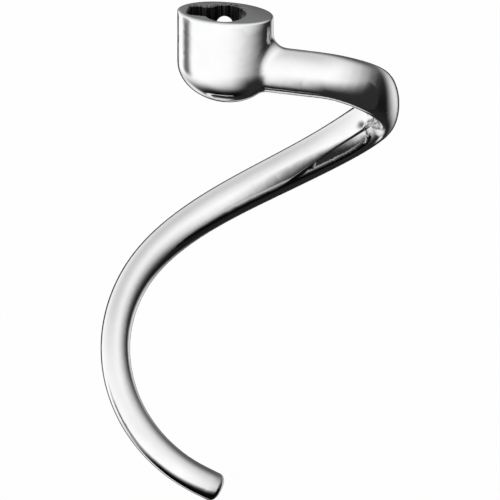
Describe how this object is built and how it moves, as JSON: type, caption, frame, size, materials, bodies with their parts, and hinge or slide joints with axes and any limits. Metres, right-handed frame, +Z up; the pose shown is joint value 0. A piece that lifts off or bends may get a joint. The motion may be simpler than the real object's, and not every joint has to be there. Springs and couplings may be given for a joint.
{
  "type": "stand mixer dough hook",
  "caption": "Polished cast-metal spiral dough hook: oval hub with a keyed drive socket, a tall-oval arm that bends back under itself and tapers to a round rod with a blunt rounded tip.",
  "frame": {"origin": "on the drive bore's axis, at the hub's flat top face", "axes": "+Z up along the bore axis and out of its mouth; +X from the axis along the straight arm, away from the pin channel; +Y to the side the bend turns to"},
  "size_m": [0.0927, 0.0641, 0.1626],
  "materials": {
    "polished_metal": "mirror-polished stainless steel"
  },
  "bodies": {
    "root": {"dough_hook": "polished_metal"}
  },
  "joints": []
}
